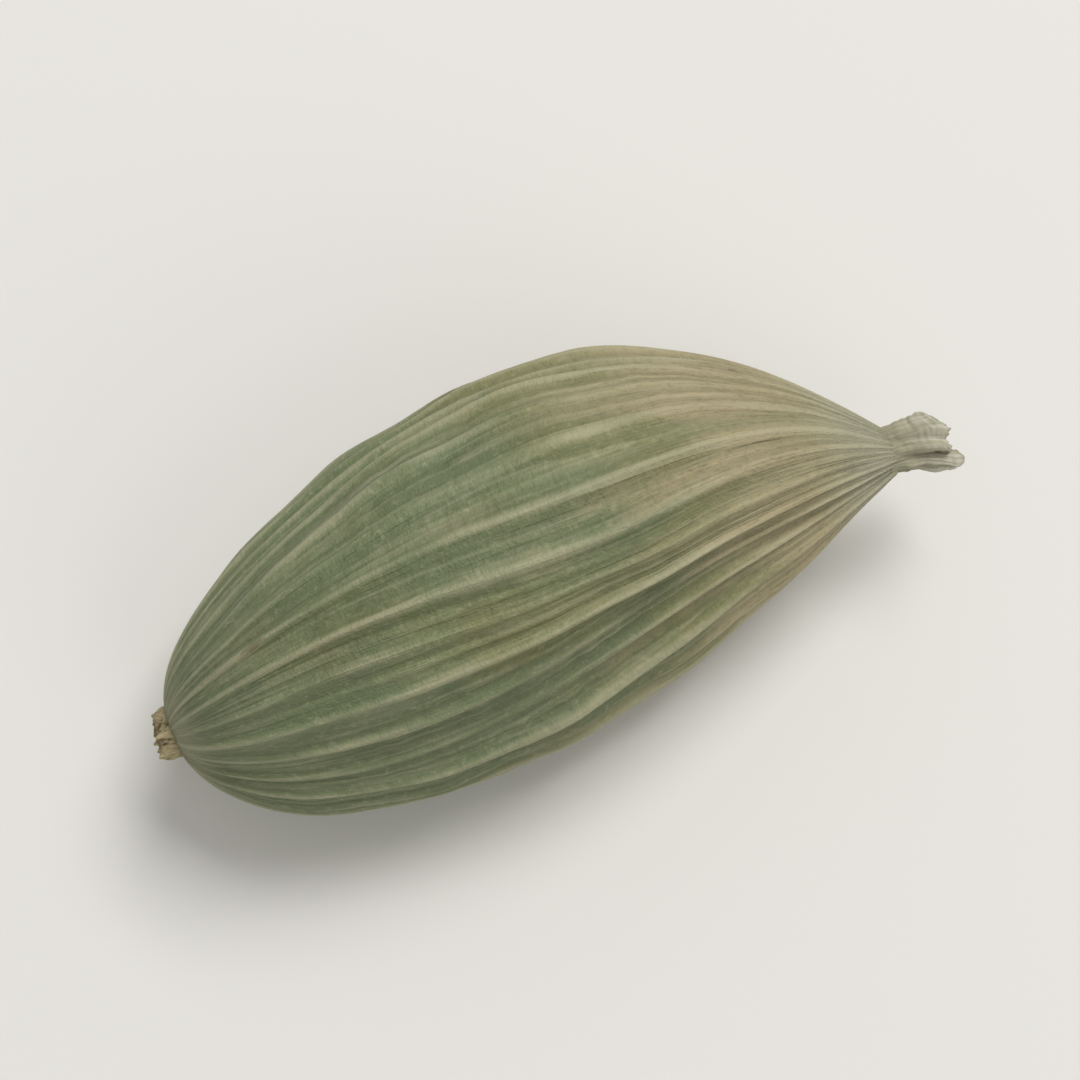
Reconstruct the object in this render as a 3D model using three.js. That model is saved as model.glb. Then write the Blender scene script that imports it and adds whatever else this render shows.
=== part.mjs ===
// A dried green cardamom pod, lying on one of its three sides.
// Millimetres, +Z up. The pod lies along X with its beak towards +X. The origin is on the
// surface that it rests on, under its widest section.
import * as THREE from "three";

// The capsule. Its two ends are measured from the widest section, at x = 0.
const BLUNT_REACH = 7.2;
const BEAK_REACH = 7.1;
const BELLY_RADIUS = 3.2;
const BLUNT_POWER = 0.5; // 0.5 is an ellipse, 1 a parabola
const BEAK_POWER = 0.8;
const BLUNT_END_RADIUS = 0.6;
const BEAK_END_RADIUS = 0.55;
const AXIS_HEIGHT = 2.77; // of the widest section's middle; what would reach lower is the flat spot
const BOW = 0.8; // how far the ends stand to one side of the middle, which leans towards the beak
const TWIST = 0.16; // radians from end to end

// Three lobes, one of them on top, with a furrow along the middle of each side.
const LOBES = 3;
const LOBE_SHARE = 0.075; // of the radius
const FURROW_DEPTH = 0.16;
const FURROW_WIDTH = 1.1; // in rib spacings

// Fibre ribs run from end to end, and the one along each lobe's crest is the strongest.
const RIBS_PER_LOBE = 9;
const RIBS = LOBES * RIBS_PER_LOBE;
const RIB_HEIGHT = 0.12;
const RIB_SHARPNESS = 1.5; // over 1 makes the ribs narrower than the valleys
const CREST_RIB = 1.2; // times an ordinary rib
const RIB_UNEVEN = 0.25; // from rib to rib, as a share of the height
const RIB_FADING = 0.2; // along one rib, as a share of the height
const RIB_SWELLS = 5; // radians of that fading from the widest section to an end

// Seeds press the husk out in two rows under each lobe.
const SEED_PITCH = 2.6;
const SEED_BULGE = 0.09;
const SEED_ROW = 1.9; // rib spacings from the crest
const SEED_WIDTH = 1.3; // rib spacings
const SEED_STAGGER = 1.4; // radians between the two rows

// Slow waves round and along the pod: ribs wander by rib spacings, drying shrinks by shares.
const RIB_WANDER = [
  { amount: 0.18, around: 4, along: -2.6, phase: 1.3 },
  { amount: 0.22, around: 2, along: 3.7, phase: 0.4 },
];
const SHRINKAGE = [
  { amount: 0.016, around: 2, along: 2, phase: 1 },
  { amount: 0.012, around: 1, along: -3, phase: 0 },
];

// The stump of the stem, broken off just behind the husk.
const STALK_RADIUS = 0.48;
const STALK_LENGTH = 0.45;
const STALK_FIBRES = 7;
const FIBRE_HEIGHT = 0.05;
const BREAK_HEIGHT = 0.14; // how unevenly it broke
const BREAK_SIDE = 1; // radians round to where it broke off shortest

// The dried flower on the beak: a pleated tube that swells to a knob, with its mouth drawn in.
const FLOWER_LENGTH = 1.2;
const FLOWER_NECK = 0.46;
const FLOWER_WAIST = 0.08; // pinched in just past the neck
const FLOWER_SWELL = 0.16;
const FLOWER_PLEATS = 7;
const PLEAT_DEPTH = 0.1;
const MOUTH_RADIUS = 0.2;
const MOUTH_DEPTH = 0.3;
const RIM_SHARE = 0.75; // of the rows run up the outside to the rim, the rest go down inside
const FLOWER_LEAN = -0.3; // how far the mouth stands off the axis

// How finely the skins are divided.
const STEPS_PER_RIB = 4;
const HUSK_ROWS = 40;
const END_BUNCHING = 0.7; // 0 spaces the husk's rows evenly, 1 crowds them towards the ends
const STEPS_PER_PLEAT = 4;
const STALK_ROWS = 3;
const FLOWER_ROWS = 8;

const FULL_TURN = 2 * Math.PI;
const TOP = Math.PI / 2;
const GOLDEN_ANGLE = Math.PI * (3 - Math.sqrt(5)); // sets neighbours apart without repeating

const mix = (from, to, share) => from + (to - from) * share;
const bell = (distance) => Math.exp(-distance * distance);
const waves = (list, turn, along) =>
  list.reduce((sum, w) => sum + w.amount * Math.sin(w.around * turn + w.along * along + w.phase), 0);

// Mean radius of the capsule at x, easing into the small round face at each end.
function meanRadius(x) {
  const [reach, power, endRadius] =
    x < 0
      ? [BLUNT_REACH, BLUNT_POWER, BLUNT_END_RADIUS]
      : [BEAK_REACH, BEAK_POWER, BEAK_END_RADIUS];
  const swell = Math.max(0, 1 - (x / reach) ** 2) ** power;
  return Math.hypot(BELLY_RADIUS * swell, endRadius);
}

// Distance in rib spacings from the crest of the nearest lobe, negative on one side of it.
function fromCrest(rib) {
  const half = RIBS_PER_LOBE / 2;
  return ((rib + half) % RIBS_PER_LOBE) - half;
}

// Height of the rib at this place, 0 in the valleys between ribs.
function ribHeight(rib, along) {
  const index = Math.round(rib) % RIBS;
  const size = index % RIBS_PER_LOBE === 0 ? CREST_RIB : 1;
  const uneven = RIB_UNEVEN * Math.sin(GOLDEN_ANGLE * index);
  const fading = RIB_FADING * Math.sin(RIB_SWELLS * along + GOLDEN_ANGLE * index);
  const ridge = (0.5 + 0.5 * Math.cos(FULL_TURN * rib)) ** RIB_SHARPNESS;
  return RIB_HEIGHT * size * (1 - RIB_UNEVEN + uneven + fading) * ridge;
}

function seedBulge(rib, x) {
  const lobe = Math.round((rib - fromCrest(rib)) / RIBS_PER_LOBE) % LOBES;
  const phase = (FULL_TURN * x) / SEED_PITCH + GOLDEN_ANGLE * lobe;
  const row = (side) =>
    (0.5 + 0.5 * Math.cos(phase + side * SEED_STAGGER)) *
    bell((fromCrest(rib) - side * SEED_ROW) / SEED_WIDTH);
  return SEED_BULGE * (row(-1) + row(1));
}

// A point of the husk: x along the pod, rib counted round it from the top lobe's crest.
function huskPoint(x, rib) {
  const along = x / (x < 0 ? BLUNT_REACH : BEAK_REACH);
  const turn = (FULL_TURN * rib) / RIBS;
  const radius = meanRadius(x);
  const fullness = Math.min(1, radius / BELLY_RADIUS);

  const lobeShare = LOBE_SHARE * (1 - (1 - fullness) ** 3) * Math.cos(LOBES * turn);
  const furrow = FURROW_DEPTH * bell((RIBS_PER_LOBE / 2 - Math.abs(fromCrest(rib))) / FURROW_WIDTH);
  const relief = fullness * (ribHeight(rib, along) + seedBulge(rib, x) - furrow);
  const r = radius * (1 + lobeShare + waves(SHRINKAGE, turn, along)) + relief;

  const wander = (FULL_TURN / RIBS) * waves(RIB_WANDER, turn, along);
  const angle = TOP + turn + wander + (TWIST / 2) * along;
  const y = r * Math.cos(angle) + BOW * (along - along ** 2 - along ** 3);
  const z = r * Math.sin(angle) + AXIS_HEIGHT;
  return new THREE.Vector3(x, y, Math.max(0, z));
}

// A closed skin over rings of points, each ring taken the same way round, with a fan over each end.
function closedSkin(rings) {
  const columns = rings[0].length;
  const points = rings.flat();
  const last = points.length - columns;
  const middle = (ring) =>
    ring.reduce((sum, point) => sum.add(point), new THREE.Vector3()).divideScalar(columns);
  const faces = [];
  for (let column = 0; column < columns; column++) {
    const next = (column + 1) % columns;
    for (let start = 0; start < last; start += columns) {
      faces.push(start + column, start + next, start + columns + column);
      faces.push(start + next, start + columns + next, start + columns + column);
    }
    faces.push(next, column, points.length);
    faces.push(last + column, last + next, points.length + 1);
  }
  const geometry = new THREE.BufferGeometry();
  geometry.setFromPoints([...points, middle(rings[0]), middle(rings.at(-1))]);
  geometry.setIndex(faces);
  geometry.computeVertexNormals();
  return geometry;
}

// rows + 1 rings of points, each with its columns, from a function of the two shares.
function rings(rows, columns, pointAt) {
  const ring = (row) =>
    Array.from({ length: columns }, (_, column) => pointAt(row / rows, column / columns));
  return Array.from({ length: rows + 1 }, (_, row) => ring(row));
}

function husk() {
  return closedSkin(
    rings(HUSK_ROWS, RIBS * STEPS_PER_RIB, (lengthShare, roundShare) => {
      const crowded = 0.5 - 0.5 * Math.cos(Math.PI * lengthShare);
      const x = mix(-BLUNT_REACH, BEAK_REACH, mix(lengthShare, crowded, END_BUNCHING));
      return huskPoint(x, RIBS * roundShare);
    }),
  );
}

// From the broken face to the husk's rounded end.
function stalkStub() {
  return closedSkin(
    rings(STALK_ROWS, STALK_FIBRES * STEPS_PER_PLEAT, (lengthShare, roundShare) => {
      const turn = FULL_TURN * roundShare;
      const out = 1 - lengthShare;
      const short = BREAK_HEIGHT * (0.5 + 0.5 * Math.cos(turn - BREAK_SIDE));
      const fibre = FIBRE_HEIGHT * (Math.cos(STALK_FIBRES * turn) - 1);
      const r = STALK_RADIUS + fibre * out;
      const x = -BLUNT_REACH - (STALK_LENGTH - short) * out;
      return new THREE.Vector3(x, r * Math.cos(turn) - BOW, r * Math.sin(turn) + AXIS_HEIGHT);
    }),
  );
}

// From the husk's beak out to the rim, and over it into the mouth.
function flowerRemnant() {
  return closedSkin(
    rings(FLOWER_ROWS, FLOWER_PLEATS * STEPS_PER_PLEAT, (lengthShare, roundShare) => {
      const turn = FULL_TURN * roundShare;
      const out = Math.min(1, lengthShare / RIM_SHARE);
      const inside = Math.max(0, (lengthShare - RIM_SHARE) / (1 - RIM_SHARE));
      const knob = FLOWER_SWELL * Math.sin(Math.PI * out ** 2) - FLOWER_WAIST * Math.sin(Math.PI * out);
      const pleat = PLEAT_DEPTH * out * Math.cos(FLOWER_PLEATS * turn);
      const r = mix(FLOWER_NECK + knob + pleat, MOUTH_RADIUS, inside);
      const x = BEAK_REACH + FLOWER_LENGTH * out - MOUTH_DEPTH * inside;
      const y = r * Math.cos(turn) - BOW + FLOWER_LEAN * out ** 2;
      return new THREE.Vector3(x, y, r * Math.sin(turn) + AXIS_HEIGHT);
    }),
  );
}

const pod = new THREE.Group();

function addPiece(name, geometry, color, roughness) {
  const piece = new THREE.Mesh(
    geometry,
    new THREE.MeshStandardMaterial({ color, roughness, metalness: 0 }),
  );
  piece.name = name;
  pod.add(piece);
}

addPiece("husk", husk(), "#7b8058", 0.6);
addPiece("stalk_stub", stalkStub(), "#a79a78", 0.8);
addPiece("flower_remnant", flowerRemnant(), "#c4bd9f", 0.75);

export default pod;
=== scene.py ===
import math

import bpy
import numpy as np
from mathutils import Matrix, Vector, noise


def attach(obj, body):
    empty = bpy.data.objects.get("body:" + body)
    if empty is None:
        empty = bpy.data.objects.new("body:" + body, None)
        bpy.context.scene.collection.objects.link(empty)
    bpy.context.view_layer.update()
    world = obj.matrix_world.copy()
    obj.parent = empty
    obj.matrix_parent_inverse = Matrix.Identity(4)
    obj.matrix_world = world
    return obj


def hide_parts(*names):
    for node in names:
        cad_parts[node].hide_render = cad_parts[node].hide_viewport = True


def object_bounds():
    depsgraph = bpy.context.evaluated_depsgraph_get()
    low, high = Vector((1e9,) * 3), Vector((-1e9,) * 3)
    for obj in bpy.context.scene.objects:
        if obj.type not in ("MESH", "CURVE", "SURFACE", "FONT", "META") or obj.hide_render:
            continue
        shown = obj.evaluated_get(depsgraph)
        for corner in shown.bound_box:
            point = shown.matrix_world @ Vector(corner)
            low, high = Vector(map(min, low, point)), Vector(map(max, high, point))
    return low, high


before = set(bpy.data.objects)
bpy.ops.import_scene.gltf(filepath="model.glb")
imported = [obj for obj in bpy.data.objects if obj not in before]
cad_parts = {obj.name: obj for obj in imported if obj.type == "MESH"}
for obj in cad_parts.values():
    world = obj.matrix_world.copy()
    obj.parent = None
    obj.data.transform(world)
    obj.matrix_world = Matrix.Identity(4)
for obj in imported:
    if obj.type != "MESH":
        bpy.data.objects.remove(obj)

cadBox = [list(corner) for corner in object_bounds()]
scene = bpy.context.scene
mm = 0.001
fullTurn = 2 * math.pi
goldenAngle = math.pi * (3 - math.sqrt(5))  # sets neighbours apart without repeating
reliefSeedStep = 13.7  # how far apart two seeds take their noise, in the meshes
colourSeedStep = 7.3  # and in the materials
crossSection = np.array([0, 1, 1])  # drops the length, for what is the same all along a strand


# small helpers that every piece uses

def hexColour(code):
    parts = [int(code[i:i + 2], 16) / 255 for i in (1, 3, 5)]
    return tuple(p / 12.92 if p <= 0.04045 else ((p + 0.055) / 1.055) ** 2.4 for p in parts) + (1.0,)


def bell(distance):
    return np.exp(-distance * distance)


def ease(low, high, value):  # 0 below low, 1 above high, smooth between
    t = np.clip((value - low) / (high - low), 0, 1)
    return t * t * (3 - 2 * t)


def waveSum(waves, turn, along):
    return sum(w["amount"] * np.sin(w["around"] * turn + w["along"] * along + w["phase"]) for w in waves)


# points from x, y and z, each one a column, a row or a whole grid of numbers
def onGrid(*parts):
    return np.stack(np.broadcast_arrays(*parts), -1)


# smooth noise from -1 to 1, in lumps of the given size in mm along and round the pod
def lumps(places, along, across, seed):
    scaled = places / np.array([along, across, across]) + reliefSeedStep * seed
    flat = [noise.noise(Vector(p)) for p in scaled.reshape(-1, 3)]
    return np.array(flat).reshape(places.shape[:-1])


# thin raised lines, where that noise crosses zero
def veins(places, along, across, seed):
    return 0.5 - 2 * np.abs(lumps(places, along, across, seed))


# a closed skin over a grid of points in mm (rows, columns, xyz), with a fan over each end
def skinPiece(name, grid, marks):
    rows, columns = grid.shape[:2]
    ends = [grid[0].mean(axis=0), grid[-1].mean(axis=0)]
    points = np.vstack([grid.reshape(-1, 3), ends]) * mm
    here = np.arange(columns)
    beside = np.roll(here, -1)
    row = np.arange(rows - 1)[:, None] * columns
    nextRow = row + columns
    quads = np.stack([row + here, row + beside, nextRow + beside, nextRow + here], -1)
    lastRow = (rows - 1) * columns
    firstMiddle, lastMiddle = rows * columns, rows * columns + 1
    pairs = list(zip(here.tolist(), beside.tolist()))
    fans = [(b, a, firstMiddle) for a, b in pairs]
    fans += [(lastRow + a, lastRow + b, lastMiddle) for a, b in pairs]
    mesh = bpy.data.meshes.new(name)
    mesh.from_pydata(points.tolist(), [], quads.reshape(-1, 4).tolist() + fans)
    for mark, values in marks.items():
        width = values.shape[2] if values.ndim == 3 else 1
        kind, field = ("FLOAT_VECTOR", "vector") if width == 3 else ("FLOAT", "value")
        flat = values.reshape(-1, width)
        flat = np.vstack([flat, flat[:columns].mean(axis=0), flat[-columns:].mean(axis=0)])
        layer = mesh.attributes.new(mark, kind, "POINT")
        layer.data.foreach_set(field, flat.astype(np.float32).ravel())
    mesh.polygons.foreach_set("use_smooth", [True] * len(mesh.polygons))
    mesh.validate()
    piece = bpy.data.objects.new(name, mesh)
    scene.collection.objects.link(piece)
    print("piece", name, len(mesh.vertices), "points")
    return piece


# adds one node: settings go to its inputs or its own properties, links come from other nodes' outputs
def addNode(tree, kind, settings=None, links=None):
    node = tree.nodes.new(kind)
    for key, value in (settings or {}).items():
        if isinstance(key, int) or key in node.inputs:
            node.inputs[key].default_value = value
        else:
            setattr(node, key, value)
    for key, source in (links or {}).items():
        tree.links.new(source, node.inputs[key])
    return node


# the husk: an air-dried capsule, lengths in mm
husk = dict(
    # both ends are measured from the widest section
    bluntReach=7.2, beakReach=7.1, bellyRadius=3.2, bluntEndRadius=0.6, beakEndRadius=0.55,
    bluntPower=0.5, beakPower=0.8,  # 0.5 rounds an end like an ellipse, 1 like a parabola
    axisHeight=2.77, bow=0.8, twist=0.16,  # the twist in radians from end to end
    lobes=3, lobeShare=0.075,  # of the radius
    furrowDepth=0.16, furrowWidth=1.1,  # between the lobes, its width in rib spacings
    # ribs from end to end, the one along each lobe's crest the strongest
    ribsPerLobe=9, ribHeight=0.12, crestRib=1.2, ribUneven=0.25, ribFading=0.2, ribSwells=5,
    ribSharpness=1.5,  # over 1 narrows the ribs, as fibre stands up where soft tissue dries away
    cordHeight=0.085, cordSharpness=5,  # the strand of fibre along each rib's top
    betweenHeight=0.045, betweenSharpness=6, betweenFading=0.4,  # a weaker strand in each valley
    # seeds swell the husk in two rows under each lobe, row and width in rib spacings
    seedPitch=2.6, seedBulge=0.09, seedRow=1.9, seedWidth=1.3, seedStagger=1.4,
    # slow waves: ribs wander by rib spacings, drying shrinks by shares of the radius
    ribWander=[
        dict(amount=0.18, around=4, along=-2.6, phase=1.3),
        dict(amount=0.22, around=2, along=3.7, phase=0.4),
    ],
    shrinkage=[
        dict(amount=0.016, around=2, along=2, phase=1),
        dict(amount=0.012, around=1, along=-3, phase=0),
    ],
    ribWobble=0.08, wobbleLength=3.2, wobbleWidth=1.2,  # rib spacings, then mm
    veinHeight=0.02, veinLength=8.0, veinWidth=0.34,  # thin veins between the ribs
    fibreHeight=0.016, fibreLength=5.0, fibreWidth=0.17,  # finer fibres between the veins
    crinkleHeight=0.042, crinkleLength=0.34, crinkleWidth=0.8,
    ribStiffness=0.8,  # the share of the crinkles that a rib holds out
    dentDepth=0.06, dentLength=3.4, dentWidth=2.2,
    seamDepth=0.08, seamWidth=0.13, seamStart=0.25,  # the crest ribs part towards the beak
    lipLength=0.5, lipDepth=0.13,  # both ends turn in round what grew there
    # the colours darken the low ground between the ribs as painted shade, and wear the high ground pale
    # where scuffed
    highRib=0.3, highCord=0.7, highBetween=0.35,  # what the colours take for high ground
    # the low ground below is darkened in the colours, painted shade
    lowCrinkle=0.5, lowDent=0.35, lowSeam=0.5, lowFurrow=0.25,  # and for low ground
    stepsPerRib=20, rows=182,
    endBunching=0.7,  # 0 spaces the rows evenly, 1 crowds them towards the ends
)


def makeHusk():
    h = husk
    ribs = h["lobes"] * h["ribsPerLobe"]
    half = h["ribsPerLobe"] / 2
    share = np.linspace(0, 1, h["rows"] + 1)
    crowded = 0.5 - 0.5 * np.cos(math.pi * share)
    spread = share + (crowded - share) * h["endBunching"]
    x = (-h["bluntReach"] + (h["bluntReach"] + h["beakReach"]) * spread)[:, None]
    rib = (np.arange(ribs * h["stepsPerRib"]) / h["stepsPerRib"])[None, :]
    turn = fullTurn * rib / ribs

    blunt = x < 0
    along = x / np.where(blunt, h["bluntReach"], h["beakReach"])
    swell = np.maximum(0, 1 - along ** 2) ** np.where(blunt, h["bluntPower"], h["beakPower"])
    endRadius = np.where(blunt, h["bluntEndRadius"], h["beakEndRadius"])
    radius = np.hypot(h["bellyRadius"] * swell, endRadius)
    fullness = np.minimum(1, radius / h["bellyRadius"])

    # places on the pod straightened to a cylinder, so that patterns follow the ribs
    straight = onGrid(x, h["bellyRadius"] * np.cos(turn), h["bellyRadius"] * np.sin(turn))

    index = np.round(rib) % ribs
    fromCrest = (rib + half) % h["ribsPerLobe"] - half
    size = np.where(index % h["ribsPerLobe"] == 0, h["crestRib"], 1.0)
    uneven = h["ribUneven"] * np.sin(goldenAngle * index)
    fading = h["ribFading"] * np.sin(h["ribSwells"] * along + goldenAngle * index)
    strength = size * (1 - h["ribUneven"] + uneven + fading)
    nearRib = 0.5 + 0.5 * np.cos(fullTurn * rib)
    ridge = nearRib ** h["ribSharpness"]
    ribRise = strength * ridge
    cord = strength * nearRib ** h["cordSharpness"]
    valleyWave = np.sin(h["ribSwells"] * along + goldenAngle * np.floor(rib) ** 2)
    between = (1 - nearRib) ** h["betweenSharpness"]
    between = between * (1 - h["betweenFading"] + h["betweenFading"] * valleyWave)

    lobe = np.round((rib - fromCrest) / h["ribsPerLobe"]) % h["lobes"]
    phase = fullTurn * x / h["seedPitch"] + goldenAngle * lobe
    seeds = sum(
        (0.5 + 0.5 * np.cos(phase + side * h["seedStagger"]))
        * bell((fromCrest - side * h["seedRow"]) / h["seedWidth"])
        for side in (-1, 1))

    furrow = bell((half - np.abs(fromCrest)) / h["furrowWidth"])
    seam = bell(fromCrest / h["seamWidth"]) * ease(h["seamStart"], 1, along)
    coarse = veins(straight, h["veinLength"], h["veinWidth"], 1)
    fine = veins(straight, h["fibreLength"], h["fibreWidth"], 11)
    crinkles = lumps(straight, h["crinkleLength"], h["crinkleWidth"], 2)
    crinkles = crinkles * (1 - h["ribStiffness"] * ridge)
    dents = lumps(straight, h["dentLength"], h["dentWidth"], 3)

    # lobes and relief fade towards both ends, where the ribs draw together
    lobeShare = h["lobeShare"] * (1 - (1 - fullness) ** 3) * np.cos(h["lobes"] * turn)
    relief = (h["ribHeight"] * ribRise + h["cordHeight"] * cord + h["betweenHeight"] * between
              + h["seedBulge"] * seeds - h["furrowDepth"] * furrow
              - h["seamDepth"] * seam + h["veinHeight"] * coarse + h["fibreHeight"] * fine
              + h["crinkleHeight"] * crinkles + h["dentDepth"] * dents)
    fromEnd = np.where(blunt, h["bluntReach"] + x, h["beakReach"] - x)
    turnIn = 1 - np.sqrt(1 - np.clip(1 - fromEnd / h["lipLength"], 0, 1) ** 2)
    r = radius * (1 + lobeShare + waveSum(h["shrinkage"], turn, along)) + fullness * relief
    r = r - h["lipDepth"] * turnIn

    wobble = h["ribWobble"] * lumps(straight, h["wobbleLength"], h["wobbleWidth"], 4)
    wander = fullTurn / ribs * (waveSum(h["ribWander"], turn, along) + wobble)
    angle = math.pi / 2 + turn + wander + h["twist"] / 2 * along
    y = r * np.cos(angle) + h["bow"] * (along - along ** 2 - along ** 3)
    z = np.maximum(0, r * np.sin(angle) + h["axisHeight"])  # flat where it rests

    high = (h["highRib"] * ribRise + h["highCord"] * cord) / h["crestRib"] + h["highBetween"] * between
    # low ground, darkened in the colours as painted shade
    low = (h["lowSeam"] * seam + h["lowFurrow"] * furrow
           - h["lowCrinkle"] * crinkles - h["lowDent"] * dents)
    marks = dict(
        straight=straight,
        alongPod=np.broadcast_to(along, z.shape),
        ribRise=np.clip(high, 0, 1),
        veinRise=np.clip(0.5 + coarse, 0, 1),
        hollow=np.clip(0.5 + low, 0, 1),
    )
    return skinPiece("driedHusk", onGrid(x, y, z), marks)


# the stump of the stem: a short bundle of strands, each snapped at its own length, lengths in mm
stalk = dict(
    radius=0.48, length=0.45, narrowing=0.06, sunk=0.15,  # sunk into the husk
    fibres=7, fibreHeight=0.05,
    breakHeight=0.14, breakSide=1,  # radians round to where it broke off shortest
    strandHeight=0.07, strandLength=2.5, strandWidth=0.13,
    threadHeight=0.03, threadLength=2.0, threadWidth=0.05,
    splinter=0.18, splinterWidth=0.1, splinterStart=0.4,  # a share of the way out from the husk
    pithHeight=0.1, pithWidth=0.09,
    reliefStart=0.3,  # strands stand out fully from this share of the way out
    # the colours darken the low ground between the strands, painted shade
    highStrand=0.6, highThread=0.4,  # what the colours take for high ground
    stepsPerFibre=32, rows=56, faceRows=40, faceStart=0.02,  # where a fan closes the broken face
)


def makeStalk():
    s = stalk
    columns = s["fibres"] * s["stepsPerFibre"]
    turn = fullTurn * np.arange(columns)[None, :] / columns
    # rings run from the middle of the broken face to its rim, then along to the husk
    face = np.linspace(s["faceStart"], 1, s["faceRows"], endpoint=False)
    inward = np.concatenate([face, np.ones(s["rows"])])[:, None]
    out = np.concatenate([np.ones(s["faceRows"]), np.linspace(1, 0, s["rows"])])[:, None]

    short = s["breakHeight"] * (0.5 + 0.5 * np.cos(turn - s["breakSide"]) * inward)
    fibre = s["fibreHeight"] * (np.cos(s["fibres"] * turn) - 1)
    r = s["radius"] + fibre * out - s["narrowing"] * out ** 2
    skin = onGrid(s["length"] * out, r * np.cos(turn), r * np.sin(turn))
    strands = veins(skin, s["strandLength"], s["strandWidth"], 5)
    threads = veins(skin, s["threadLength"], s["threadWidth"], 12)
    bundle = s["strandHeight"] * strands + s["threadHeight"] * threads
    r = r + bundle * ease(0, s["reliefStart"], out)

    # splinters stand round the rim of the break, crumbled pith in its middle
    straight = onGrid(-s["length"] * out, r * inward * np.cos(turn), r * inward * np.sin(turn))
    torn = s["splinter"] * (0.5 + lumps(skin * crossSection, 1, s["splinterWidth"], 6))
    pith = s["pithHeight"] * (0.5 + lumps(straight * crossSection, 1, s["pithWidth"], 9))
    ragged = torn * inward ** 2 * ease(s["splinterStart"], 1, out) + pith * (1 - inward ** 3)
    x = -husk["bluntReach"] + s["sunk"] - (s["sunk"] + s["length"] - short) * out + ragged
    grid = onGrid(x, straight[..., 1] - husk["bow"], straight[..., 2] + husk["axisHeight"])
    marks = dict(
        straight=straight,
        outward=np.broadcast_to(out, x.shape),
        broken=np.broadcast_to(1 - inward ** 4, x.shape),
        strand=np.clip(0.5 + s["highStrand"] * strands + s["highThread"] * threads, 0, 1),
    )
    return skinPiece("stalkStump", grid, marks)


# what is left of the flower: a pleated papery tube with a drawn-in, frayed mouth, lengths in mm
flower = dict(
    length=1.2, neck=0.46, waist=0.08, swell=0.16, lean=-0.3, sunk=0.15,  # sunk into the husk
    pleats=7, pleatDepth=0.1, pleatUneven=0.6,  # a share of the depth
    pleatWander=0.22, pleatDrift=1.5,  # radians, and how far the wander moves on towards the rim
    mouthRadius=0.2, mouthDepth=0.3,
    rimShare=0.75,  # of the rows run up the outside to the rim, the rest go down inside
    foldHeight=0.045, foldLength=1.4, foldWidth=0.17,
    veinHeight=0.022, veinLength=1.6, veinWidth=0.06,
    crumpleHeight=0.07, crumpleSize=0.32,
    crinkleHeight=0.022, crinkleLength=0.09, crinkleWidth=0.2,
    reliefStart=0.3,  # wrinkles stand out fully from this share of the way out
    tear=0.2, tearWidth=0.2, tearPower=3,  # a higher power keeps it nearer the rim
    fray=0.16, frayWidth=0.055, frayPower=8,
    stepsPerPleat=34, rows=132,
)


def makeFlower():
    f = flower
    columns = f["pleats"] * f["stepsPerPleat"]
    turn = fullTurn * np.arange(columns)[None, :] / columns
    share = np.linspace(0, 1, f["rows"] + 1)[:, None]
    out = np.minimum(1, share / f["rimShare"])
    inside = np.maximum(0, (share - f["rimShare"]) / (1 - f["rimShare"]))

    straight = onGrid(f["length"] * (out - inside), f["neck"] * np.cos(turn), f["neck"] * np.sin(turn))
    knob = f["swell"] * np.sin(math.pi * out ** 2) - f["waist"] * np.sin(math.pi * out)
    pleatTurn = turn + f["pleatWander"] * np.sin(2 * turn + f["pleatDrift"] * out)
    pleatRise = np.cos(f["pleats"] * pleatTurn)
    depth = f["pleatDepth"] * out * (1 + f["pleatUneven"] * np.sin(3 * turn + 1))
    fine = veins(straight, f["veinLength"], f["veinWidth"], 13)
    wrinkles = (f["foldHeight"] * veins(straight, f["foldLength"], f["foldWidth"], 7)
                + f["veinHeight"] * fine
                + f["crumpleHeight"] * lumps(straight, f["crumpleSize"], f["crumpleSize"], 8)
                + f["crinkleHeight"] * lumps(straight, f["crinkleLength"], f["crinkleWidth"], 14))
    r = f["neck"] + knob + depth * pleatRise + wrinkles * ease(0, f["reliefStart"], out)
    r = r + (f["mouthRadius"] - r) * inside

    # a tear and a frayed fibre are the same inside and out
    torn = f["tear"] * (0.5 + lumps(straight * crossSection, 1, f["tearWidth"], 10))
    frayed = f["fray"] * (0.5 + lumps(straight * crossSection, 1, f["frayWidth"], 15))
    x = husk["beakReach"] - f["sunk"] + (f["sunk"] + f["length"]) * out
    x = x - torn * out ** f["tearPower"] - frayed * out ** f["frayPower"] - f["mouthDepth"] * inside
    y = r * np.cos(turn) - husk["bow"] + f["lean"] * out ** 2
    z = r * np.sin(turn) + husk["axisHeight"]
    marks = dict(
        straight=straight,
        outward=np.broadcast_to(out, r.shape),
        mouth=np.broadcast_to(inside, r.shape),
        pleatRise=np.broadcast_to(0.5 + 0.5 * pleatRise, r.shape),
        veinRise=np.clip(0.5 + fine, 0, 1),
    )
    return skinPiece("driedFlower", onGrid(x, y, z), marks)


# materials

def freshMaterial(name):
    material = bpy.data.materials.new(name)
    material.use_nodes = True
    material.node_tree.nodes.clear()
    return material, material.node_tree


# noise from 0 to 1, in lumps of the given size in mm along and round the pod
def fibrePattern(tree, place, along, across, seed, detail=2.0):
    scaled = addNode(tree, "ShaderNodeVectorMath", {
        "operation": "MULTIPLY_ADD", 1: (1 / along, 1 / across, 1 / across),
        2: (colourSeedStep * seed,) * 3}, {0: place})
    pattern = addNode(tree, "ShaderNodeTexNoise", {
        "Scale": 1.0, "Detail": detail}, {"Vector": scaled.outputs[0]})
    return pattern.outputs[0]


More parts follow.
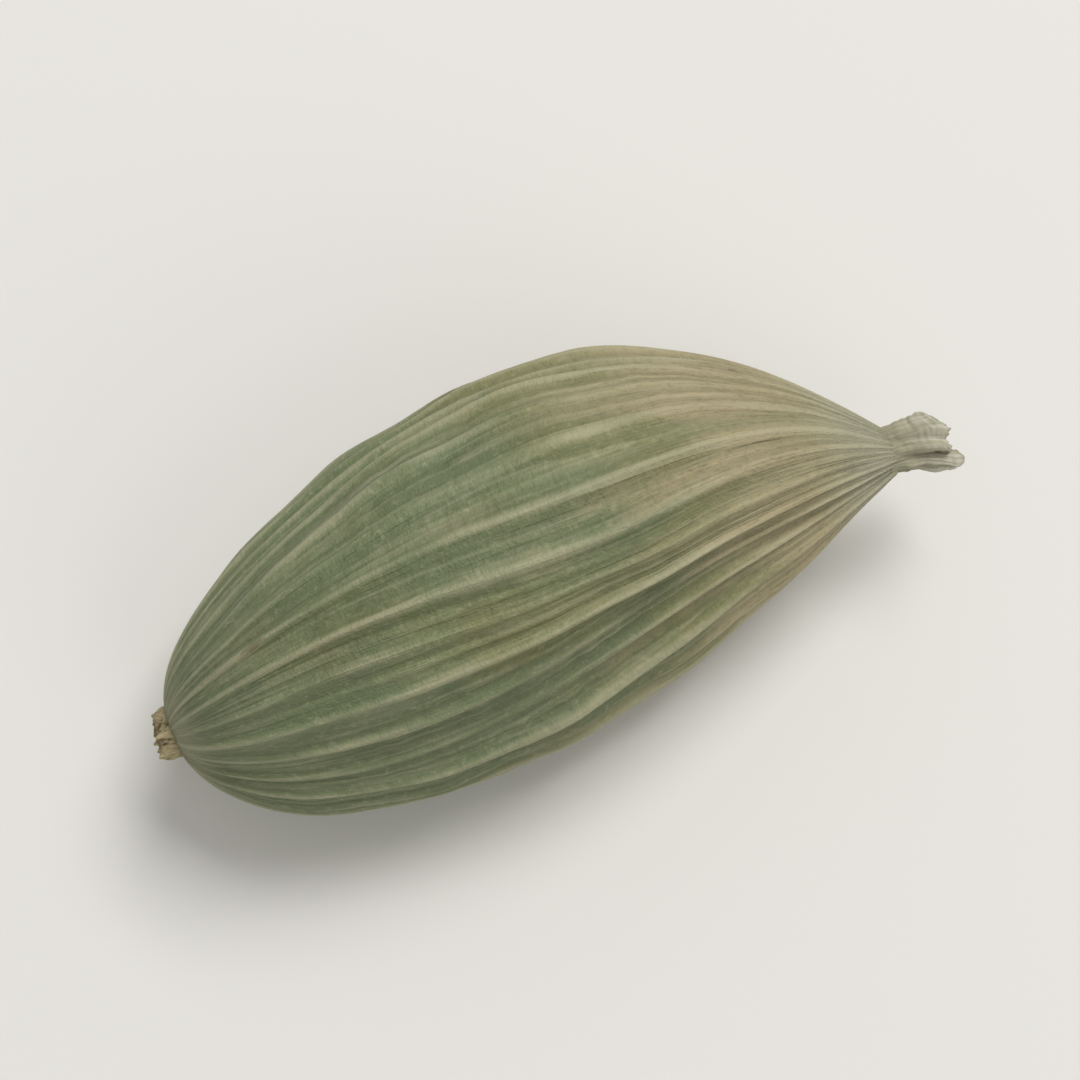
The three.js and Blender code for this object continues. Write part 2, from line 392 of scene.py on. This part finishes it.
# lays colours one over the other: each has its pattern, where that starts and is full, and a strength
def layered(tree, base, layers):
    colour = addNode(tree, "ShaderNodeRGB").outputs[0]
    colour.default_value = hexColour(base)
    for upper, pattern, start, full, strength in layers:
        amount = addNode(tree, "ShaderNodeMapRange", {
            "interpolation_type": "SMOOTHSTEP", "From Min": start, "From Max": full,
            "To Max": strength}, {"Value": pattern})
        mixed = addNode(tree, "ShaderNodeMix", {
            "data_type": "RGBA", 7: hexColour(upper)}, {0: amount.outputs[0], 6: colour})
        colour = mixed.outputs[2]
    return colour


# piles up relief patterns, each by its share of the bump's height
def piledUp(tree, patterns):
    height = None
    for pattern, share in patterns:
        links = {0: pattern} if height is None else {0: pattern, 2: height}
        settings = {"operation": "MULTIPLY_ADD", 1: share, 2: 0.0}
        height = addNode(tree, "ShaderNodeMath", settings, links).outputs[0]
    return height


# pattern sizes in mm, along and round the pod
huskLook = dict(
    leafGreen="#747f5b", olive="#838459", tan="#ad9f7c", straw="#b9b494", bleached="#babba5",
    # shade darkens some fibres and clumps of cells, and is also painted shade in the rib valleys,
    # furrows, seams and dents
    shade="#50583d", stain="#837853", speck="#564a31",
    roughLow=0.38, roughHigh=0.62, ior=1.45,
    patchLength=3.4, patchWidth=2.0, ripening=0.28,  # how much the beak ripens before the stalk
    flushLength=4.0, flushWidth=0.8, flushCreep=1.8,  # how far the tan creeps along some ribs
    scuffLength=1.8, scuffWidth=0.5,
    blotLength=2.4, blotWidth=1.3,
    streakLength=5.0, streakWidth=0.12,  # bundles of fibre, in life about 0.05 wide
    threadLength=7.0, threadWidth=0.24, threadSpan=0.1,  # thin pale lines of fibre
    hairLength=1.6, hairWidth=0.06,  # single fibres, in life about 0.02 wide, coarser so that they show
    wrinkleLength=0.15, wrinkleWidth=0.32,
    mottleLength=0.14, mottleWidth=0.08,  # clumps of cells, in life about 0.04 across
    gritSize=0.05,
    speckSpacing=0.6, speckSize=0.2, speckShare=0.35,  # as wide as this share of its length
    speckChance=0.55,  # this share of the cells stays bare
    speckBend=0.14, speckBends=6.0,  # how far its outline wanders, and how often a mm
    bumpHeight=0.032,  # and each pattern's share of it
    threadRise=0.3, hairRise=1.0, streakRise=0.8, wrinkleRise=1.7, gritRise=0.7,
)


# cardamom husk dried in the air: papery fibre, satin on the ribs, green that fades to tan and straw
def airDriedHusk():
    look = huskLook
    material, tree = freshMaterial("airDriedHusk")
    place = addNode(tree, "ShaderNodeAttribute", {"attribute_name": "straight"}).outputs["Vector"]
    along, rise, vein, hollow = [
        addNode(tree, "ShaderNodeAttribute", {"attribute_name": mark}).outputs["Fac"]
        for mark in ("alongPod", "ribRise", "veinRise", "hollow")]

    patch = fibrePattern(tree, place, look["patchLength"], look["patchWidth"], 1, detail=3.0)
    streak = fibrePattern(tree, place, look["streakLength"], look["streakWidth"], 2, detail=3.0)
    flush = fibrePattern(tree, place, look["flushLength"], look["flushWidth"], 3, detail=4.0)
    scuff = fibrePattern(tree, place, look["scuffLength"], look["scuffWidth"], 4, detail=3.0)
    blot = fibrePattern(tree, place, look["blotLength"], look["blotWidth"], 5, detail=4.0)
    hair = fibrePattern(tree, place, look["hairLength"], look["hairWidth"], 7)
    wrinkle = fibrePattern(tree, place, look["wrinkleLength"], look["wrinkleWidth"], 8)
    grit = fibrePattern(tree, place, look["gritSize"], look["gritSize"], 9)
    mottle = fibrePattern(tree, place, look["mottleLength"], look["mottleWidth"], 10, detail=3.0)

    # threads are the lines where a stretched noise crosses its middle
    threadNoise = fibrePattern(tree, place, look["threadLength"], look["threadWidth"], 6, detail=1.0)
    fromMiddle = addNode(tree, "ShaderNodeMath", {"operation": "SUBTRACT", 1: 0.5}, {0: threadNoise})
    offThread = addNode(tree, "ShaderNodeMath", {"operation": "ABSOLUTE"}, {0: fromMiddle.outputs[0]})
    thread = addNode(tree, "ShaderNodeMapRange", {
        "interpolation_type": "SMOOTHSTEP", "From Min": look["threadSpan"], "From Max": 0.0},
        {"Value": offThread.outputs[0]}).outputs[0]

    # green lasts longest at the stalk, and the tan flush creeps from the beak along some ribs further
    ripened = addNode(tree, "ShaderNodeMath", {
        "operation": "MULTIPLY_ADD", 1: look["ripening"]}, {0: along, 2: patch}).outputs[0]
    crept = addNode(tree, "ShaderNodeMath", {
        "operation": "MULTIPLY_ADD", 1: look["flushCreep"]}, {0: flush, 2: along}).outputs[0]
    toEnds = addNode(tree, "ShaderNodeMath", {"operation": "ABSOLUTE"}, {0: along}).outputs[0]
    # what stands up is worn pale where the husk is scuffed, and blots are wrinkled
    wornRib, wornVein, wornThread, wrinkled = [
        addNode(tree, "ShaderNodeMath", {"operation": "MULTIPLY"}, {0: first, 1: second}).outputs[0]
        for first, second in ((rise, scuff), (vein, scuff), (thread, scuff), (wrinkle, blot))]

    # a few small dark specks, each cell of the pattern holding one or none
    bend = addNode(tree, "ShaderNodeTexNoise", {"Scale": look["speckBends"]}, {"Vector": place})
    bent = addNode(tree, "ShaderNodeVectorMath", {
        "operation": "MULTIPLY_ADD", 1: (look["speckBend"],) * 3}, {0: bend.outputs["Color"], 2: place})
    drawnOut = addNode(tree, "ShaderNodeVectorMath", {
        "operation": "MULTIPLY", 1: (look["speckShare"], 1, 1)}, {0: bent.outputs[0]})
    cells = addNode(tree, "ShaderNodeTexVoronoi", {
        "Scale": 1 / look["speckSpacing"]}, {"Vector": drawnOut.outputs[0]})
    chance = addNode(tree, "ShaderNodeSeparateColor", {}, {0: cells.outputs["Color"]})
    reach = addNode(tree, "ShaderNodeMapRange", {
        "From Min": look["speckChance"], "To Max": look["speckSize"]}, {"Value": chance.outputs[0]})
    speck = addNode(tree, "ShaderNodeMath", {"operation": "SUBTRACT"}, {
        0: reach.outputs[0], 1: cells.outputs["Distance"]}).outputs[0]

    colour = layered(tree, look["leafGreen"], [
        (look["olive"], ripened, 0.36, 0.64, 1.0),
        (look["tan"], crept, 0.95, 1.5, 0.9),
        (look["bleached"], along, 0.72, 0.98, 0.75),
        (look["stain"], blot, 0.58, 0.72, 0.35),
        (look["shade"], streak, 0.46, 0.24, 0.2),
        (look["straw"], streak, 0.54, 0.76, 0.15),
        (look["shade"], hair, 0.45, 0.25, 0.3),
        (look["shade"], mottle, 0.48, 0.28, 0.3),
        (look["straw"], mottle, 0.54, 0.74, 0.3),
        # painted shade: the valleys between the ribs are darkened, as shade falls there
        (look["shade"], rise, 0.3, 0.0, 0.3),
        # painted shade: the furrows, the parting seam and the dents are darkened, as shade falls in them
        (look["shade"], hollow, 0.6, 1.0, 0.2),
        (look["straw"], wornVein, 0.35, 0.65, 0.2),
        (look["straw"], wornThread, 0.2, 0.6, 0.2),
        (look["straw"], wornRib, 0.12, 0.38, 0.45),
        (look["straw"], toEnds, 0.9, 1.0, 0.4),
        (look["speck"], speck, 0.0, 0.08, 0.45),
    ])
    rough = addNode(tree, "ShaderNodeMapRange", {
        "To Min": look["roughHigh"], "To Max": look["roughLow"]}, {"Value": wornRib})
    # hair-fine fibre runs along the pod, and wrinkles and grit break it up
    height = piledUp(tree, [
        (thread, look["threadRise"]), (hair, look["hairRise"]), (streak, look["streakRise"]),
        (wrinkled, look["wrinkleRise"]), (grit, look["gritRise"])])
    bump = addNode(tree, "ShaderNodeBump", {"Distance": look["bumpHeight"] * mm}, {"Height": height})
    shader = addNode(tree, "ShaderNodeBsdfPrincipled", {"IOR": look["ior"]}, {
        "Base Color": colour, "Roughness": rough.outputs[0], "Normal": bump.outputs[0]})
    addNode(tree, "ShaderNodeOutputMaterial", {}, {0: shader.outputs[0]})
    return material


stalkLook = dict(
    # the dark strand colour also paints shade into the grooves between the strands
    straw="#ab9d78", pale="#c3b892", pith="#84724f", darkStrandAndShade="#645840", husk="#8a8a69",
    rough=0.78, ior=1.45,
    grainLength=1.6, grainWidth=0.035,  # single strands
    dustSize=0.05,
    bumpHeight=0.02, grainRise=1.0, dustRise=0.6,  # shares of the bump's height
)


# dry broken stem: straw-coloured strands outside with painted shade between them, a darker ragged face
# where it snapped
def snappedStem():
    look = stalkLook
    material, tree = freshMaterial("snappedStem")
    place = addNode(tree, "ShaderNodeAttribute", {"attribute_name": "straight"}).outputs["Vector"]
    outward, broken, strand = [
        addNode(tree, "ShaderNodeAttribute", {"attribute_name": mark}).outputs["Fac"]
        for mark in ("outward", "broken", "strand")]
    grain = fibrePattern(tree, place, look["grainLength"], look["grainWidth"], 1, detail=3.0)
    dust = fibrePattern(tree, place, look["dustSize"], look["dustSize"], 2)
    colour = layered(tree, look["straw"], [
        (look["pale"], grain, 0.52, 0.7, 0.7),
        (look["husk"], outward, 0.5, 0.1, 0.8),
        # painted shade: darker between the raised strands, as shade falls in the grooves
        (look["darkStrandAndShade"], strand, 0.55, 0.1, 0.85),
        (look["pith"], broken, 0.2, 1.0, 0.6),
        (look["darkStrandAndShade"], grain, 0.48, 0.3, 0.75),
    ])
    height = piledUp(tree, [(grain, look["grainRise"]), (dust, look["dustRise"])])
    bump = addNode(tree, "ShaderNodeBump", {"Distance": look["bumpHeight"] * mm}, {"Height": height})
    shader = addNode(tree, "ShaderNodeBsdfPrincipled", {"IOR": look["ior"], "Roughness": look["rough"]}, {
        "Base Color": colour, "Normal": bump.outputs[0]})
    addNode(tree, "ShaderNodeOutputMaterial", {}, {0: shader.outputs[0]})
    return material


flowerLook = dict(
    # fold is the dark of veins and creases, and painted shade in the pleats, between the veins and in the
    # mouth
    cream="#c2c0ad", straw="#a9a489", fold="#77715a", singe="#8b7f62", husk="#98977c",
    rough=0.7, ior=1.45,
    threadLength=1.4, threadWidth=0.03,  # veins of the petals
    creaseLength=0.1, creaseWidth=0.16,
    bumpHeight=0.016, threadRise=1.0, creaseRise=1.0,  # shares of the bump's height
)


# dried petal tissue: thin, pale and matt, with painted shade in its pleats, between its veins and
# down inside its mouth, browner at the frayed edge, and like the husk where it grows from it
def driedPetal():
    look = flowerLook
    material, tree = freshMaterial("driedPetal")
    place = addNode(tree, "ShaderNodeAttribute", {"attribute_name": "straight"}).outputs["Vector"]
    outward, mouth, pleat, vein = [
        addNode(tree, "ShaderNodeAttribute", {"attribute_name": mark}).outputs["Fac"]
        for mark in ("outward", "mouth", "pleatRise", "veinRise")]
    thread = fibrePattern(tree, place, look["threadLength"], look["threadWidth"], 1, detail=3.0)
    crease = fibrePattern(tree, place, look["creaseLength"], look["creaseWidth"], 2)
    colour = layered(tree, look["cream"], [
        (look["straw"], outward, 0.75, 0.3, 0.8),
        (look["husk"], outward, 0.4, 0.1, 0.9),
        # painted shade: darker in the valleys of the pleats and between the fine veins, as shade falls
        # there
        (look["fold"], pleat, 0.4, 0.0, 0.5),
        (look["straw"], vein, 0.75, 0.3, 0.7),
        (look["fold"], thread, 0.46, 0.3, 0.5),
        (look["fold"], crease, 0.42, 0.25, 0.35),
        (look["singe"], outward, 0.93, 1.0, 0.5),
        # painted shade: darker down inside the mouth, a recess
        (look["fold"], mouth, 0.1, 0.9, 0.85),
    ])
    height = piledUp(tree, [(thread, look["threadRise"]), (crease, look["creaseRise"])])
    bump = addNode(tree, "ShaderNodeBump", {"Distance": look["bumpHeight"] * mm}, {"Height": height})
    shader = addNode(tree, "ShaderNodeBsdfPrincipled", {"IOR": look["ior"], "Roughness": look["rough"]}, {
        "Base Color": colour, "Normal": bump.outputs[0]})
    addNode(tree, "ShaderNodeOutputMaterial", {}, {0: shader.outputs[0]})
    return material


# the pieces stand for the CAD nodes, and the whole pod is one body
for make, finish, node, slot in [
    (makeHusk, airDriedHusk, "husk", "husk"),
    (makeStalk, snappedStem, "stalk_stub", "stalk"),
    (makeFlower, driedPetal, "flower_remnant", "flower"),
]:
    piece = make()
    piece.data.materials.append(finish())
    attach(piece, "root")
    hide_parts(node)
print("pod made")


# plain pale floor, lengths in mm, set just below the pod so that the two faces don't meet
floorSet = dict(size=900, drop=0.02, colour="#e9e7e2", rough=0.8)


def makeFloor():
    half = floorSet["size"] / 2 * mm
    level = -floorSet["drop"] * mm
    corners = [(-half, -half, level), (half, -half, level), (half, half, level), (-half, half, level)]
    mesh = bpy.data.meshes.new("floor")
    mesh.from_pydata(corners, [], [(0, 1, 2, 3)])
    floor = bpy.data.objects.new("floor", mesh)
    scene.collection.objects.link(floor)
    material, tree = freshMaterial("paleMattBoard")  # a matt board, plain so that the pod stands out
    shader = addNode(tree, "ShaderNodeBsdfPrincipled", {
        "Base Color": hexColour(floorSet["colour"]), "Roughness": floorSet["rough"]})
    addNode(tree, "ShaderNodeOutputMaterial", {}, {0: shader.outputs[0]})
    mesh.materials.append(material)
    print("floor made")


makeFloor()


# camera and lights, angles in degrees, lengths in mm, powers in watts
cameraSet = dict(
    azimuth=-22, elevation=76, lens=85, sensor=36,
    fill=0.8,  # the pod's length as a share of the frame's width
)
lightSet = dict(
    world="#f4f3f0", worldStrength=0.46,
    lamps=[
        dict(name="keyLamp", azimuth=124, elevation=60, distance=400, size=200, power=1.0),
        dict(name="sideLamp", azimuth=20, elevation=40, distance=400, size=220, power=0.16),
    ],
)
target = Vector([(low + high) / 2 for low, high in zip(*cadBox)])


# a point round the pod: azimuth 0 is towards -Y and 90 towards +X
def around(azimuth, elevation, distance):
    a, e = math.radians(azimuth), math.radians(elevation)
    way = Vector((math.sin(a) * math.cos(e), -math.cos(a) * math.cos(e), math.sin(e)))
    return target + distance * way


def aim(thing, place):
    thing.location = place
    thing.rotation_euler = (target - place).to_track_quat("-Z", "Y").to_euler()
    scene.collection.objects.link(thing)


podLength = cadBox[1][0] - cadBox[0][0]
cameraData = bpy.data.cameras.new("camera")
cameraData.lens = cameraSet["lens"]
cameraData.sensor_width = cameraSet["sensor"]
cameraData.sensor_fit = "HORIZONTAL"
cameraData.clip_start = mm
camera = bpy.data.objects.new("camera", cameraData)
cameraDistance = podLength / cameraSet["fill"] * cameraSet["lens"] / cameraSet["sensor"]
aim(camera, around(cameraSet["azimuth"], cameraSet["elevation"], cameraDistance))
scene.camera = camera

for lamp in lightSet["lamps"]:
    data = bpy.data.lights.new(lamp["name"], "AREA")
    data.size = lamp["size"] * mm
    data.energy = lamp["power"]
    place = around(lamp["azimuth"], lamp["elevation"], lamp["distance"] * mm)
    aim(bpy.data.objects.new(lamp["name"], data), place)

world = bpy.data.worlds.new("softRoom")
world.use_nodes = True
world.node_tree.nodes.clear()
sky = addNode(world.node_tree, "ShaderNodeBackground", {
    0: hexColour(lightSet["world"]), 1: lightSet["worldStrength"]})
addNode(world.node_tree, "ShaderNodeOutputWorld", {}, {0: sky.outputs[0]})
scene.world = world
scene.view_settings.view_transform = "Standard"
print("camera and lights set")

bpy.context.view_layer.update()
